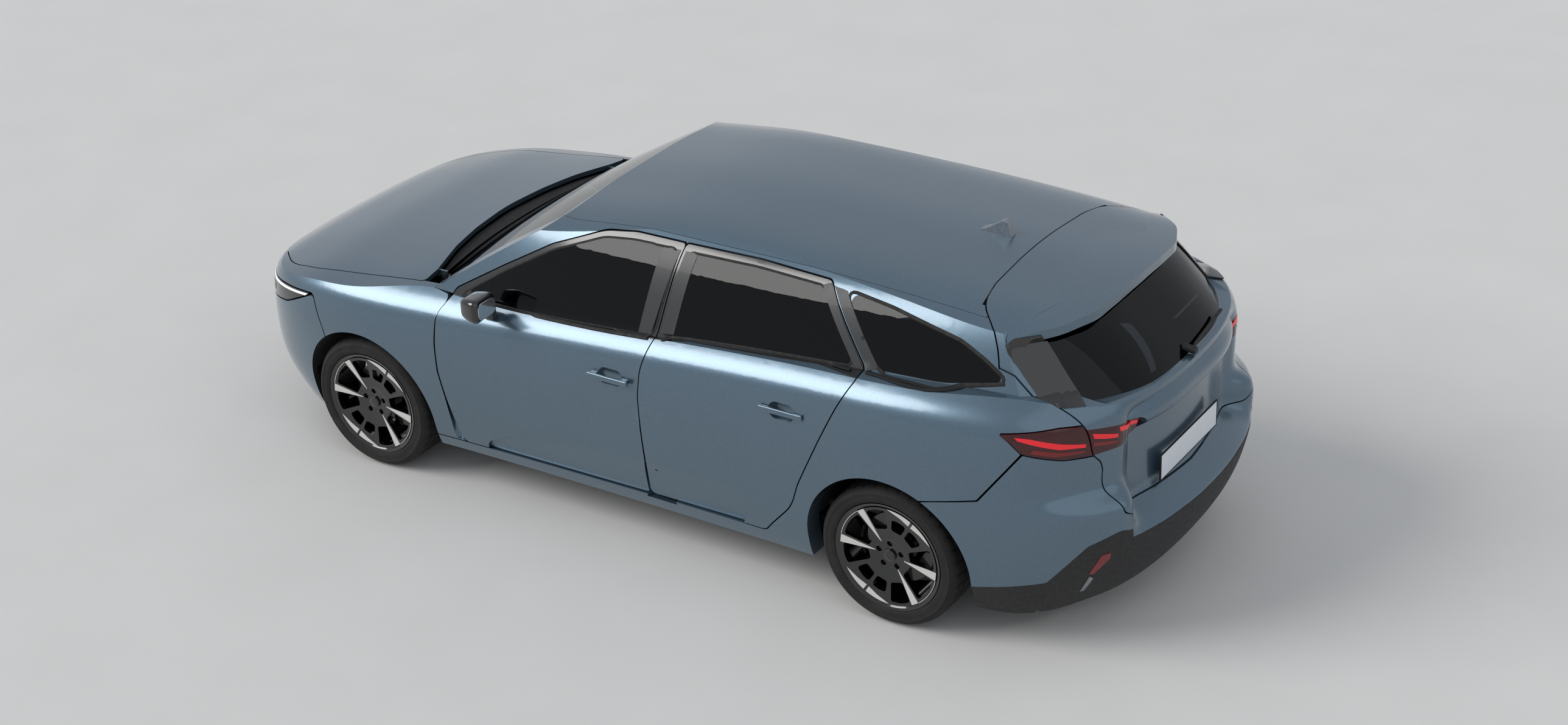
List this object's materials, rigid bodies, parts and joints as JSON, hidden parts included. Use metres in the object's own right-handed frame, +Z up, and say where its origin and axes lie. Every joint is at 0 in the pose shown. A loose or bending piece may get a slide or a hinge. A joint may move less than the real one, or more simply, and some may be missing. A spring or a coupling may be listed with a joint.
{
  "type": "station wagon",
  "caption": "Compact five-door station wagon with opening doors, bonnet and tailgate, steered front wheels and a hollow cabin with seats.",
  "frame": {"origin": "on the ground under the middle of the car's bounding box", "axes": "+X forwards along the car, +Y to its left side, +Z up"},
  "size_m": [4.6299, 2.0442, 1.4745],
  "materials": {
    "body_paint": "metallic light blue-grey paint under clear lacquer",
    "glass": "dark tinted glass",
    "gloss_black": "gloss black",
    "black_plastic": "grained black",
    "lamp_clear": "clear lamp cover",
    "lamp_red": "dark red lamp lens",
    "alloy": "gloss black with machined faces",
    "tyre": "matt rubber",
    "fabric": "dark woven cloth",
    "leather": "dark leather",
    "cast_iron": "raw casting",
    "steel": "dark underbody coating",
    "plate_white": "blank pale plate"
  },
  "bodies": {
    "body": {"underbody": "steel", "body_side_left": "body_paint", "body_side_right": "body_paint", "wing_left": "body_paint", "wing_right": "body_paint", "headlamp_left": "lamp_clear", "headlamp_right": "lamp_clear", "front_bumper": "body_paint", "grille": "gloss_black", "roof_panel": "body_paint", "rear_lamps": "lamp_red", "rear_bumper": "body_paint", "rear_valance": "black_plastic", "quarter_glass": "glass", "windscreen": "glass", "cowl": "black_plastic", "dashboard": "black_plastic", "rear_seat": "fabric", "front_seat_left": "fabric", "front_seat_right": "fabric", "engine": "cast_iron", "front_frame": "cast_iron", "rear_frame": "cast_iron", "under_floor": "steel", "antenna": "body_paint"},
    "bonnet_lid": {"bonnet": "body_paint"},
    "tailgate_lid": {"tailgate": "body_paint", "tailgate_lamps": "lamp_red", "back_glass": "glass", "rear_wiper": "black_plastic", "rear_plate": "plate_white"},
    "door_front_left_body": {"door_front_left": "body_paint", "door_front_glass_left": "glass", "mirror_left": "gloss_black"},
    "door_front_right_body": {"door_front_right": "body_paint", "door_front_glass_right": "glass", "mirror_right": "gloss_black"},
    "door_rear_left_body": {"door_rear_left": "body_paint", "door_rear_glass_left": "glass"},
    "door_rear_right_body": {"door_rear_right": "body_paint", "door_rear_glass_right": "glass"},
    "knuckle_left_body": {"knuckle_left": "cast_iron"},
    "knuckle_right_body": {"knuckle_right": "cast_iron"},
    "wheel_front_left": {"rim_front_left": "alloy", "tyre_front_left": "tyre"},
    "wheel_front_right": {"rim_front_right": "alloy", "tyre_front_right": "tyre"},
    "wheel_rear_left": {"rim_rear_left": "alloy", "tyre_rear_left": "tyre"},
    "wheel_rear_right": {"rim_rear_right": "alloy", "tyre_rear_right": "tyre"},
    "steering_wheel_body": {"steering_wheel": "leather"}
  },
  "joints": [
    {"name": "steer_left", "type": "hinge", "parent": "body", "child": "knuckle_left_body", "pos_m": [1.445, 0.735, 0.3185], "axis": [0, 0, 1], "range_deg": [-35, 35]},
    {"name": "steer_right", "type": "hinge", "parent": "body", "child": "knuckle_right_body", "pos_m": [1.445, -0.735, 0.3185], "axis": [0, 0, 1], "range_deg": [-35, 35]},
    {"name": "spin_front_left", "type": "hinge", "parent": "knuckle_left_body", "child": "wheel_front_left", "pos_m": [1.445, 0.778, 0.3185], "axis": [0, 1, 0], "continuous": true},
    {"name": "spin_front_right", "type": "hinge", "parent": "knuckle_right_body", "child": "wheel_front_right", "pos_m": [1.445, -0.778, 0.3185], "axis": [0, 1, 0], "continuous": true},
    {"name": "spin_rear_left", "type": "hinge", "parent": "body", "child": "wheel_rear_left", "pos_m": [-1.287, 0.778, 0.3185], "axis": [0, 1, 0], "continuous": true},
    {"name": "spin_rear_right", "type": "hinge", "parent": "body", "child": "wheel_rear_right", "pos_m": [-1.287, -0.778, 0.3185], "axis": [0, 1, 0], "continuous": true},
    {"name": "open_front_left", "type": "hinge", "parent": "body", "child": "door_front_left_body", "pos_m": [0.945, 0.88, 0.61], "axis": [0, 0, -1], "range_deg": [0, 65]},
    {"name": "open_front_right", "type": "hinge", "parent": "body", "child": "door_front_right_body", "pos_m": [0.945, -0.88, 0.61], "axis": [0, 0, 1], "range_deg": [0, 65]},
    {"name": "open_rear_left", "type": "hinge", "parent": "body", "child": "door_rear_left_body", "pos_m": [-0.152, 0.872, 0.61], "axis": [0, 0, -1], "range_deg": [0, 68]},
    {"name": "open_rear_right", "type": "hinge", "parent": "body", "child": "door_rear_right_body", "pos_m": [-0.152, -0.872, 0.61], "axis": [0, 0, 1], "range_deg": [0, 68]},
    {"name": "open_bonnet", "type": "hinge", "parent": "body", "child": "bonnet_lid", "pos_m": [1.128, 0, 0.938], "axis": [0, -1, 0], "range_deg": [0, 50]},
    {"name": "open_tailgate", "type": "hinge", "parent": "body", "child": "tailgate_lid", "pos_m": [-1.56, 0, 1.362], "axis": [0, 1, 0], "range_deg": [0, 80]},
    {"name": "turn_steering_wheel", "type": "hinge", "parent": "body", "child": "steering_wheel_body", "pos_m": [0.64, 0.37, 0.735], "axis": [-0.9298, 0, 0.368], "range_deg": [-470, 470]}
  ],
  "couplings": [
    {"joint": "steer_right", "follows": "steer_left", "ratio": 1}
  ]
}
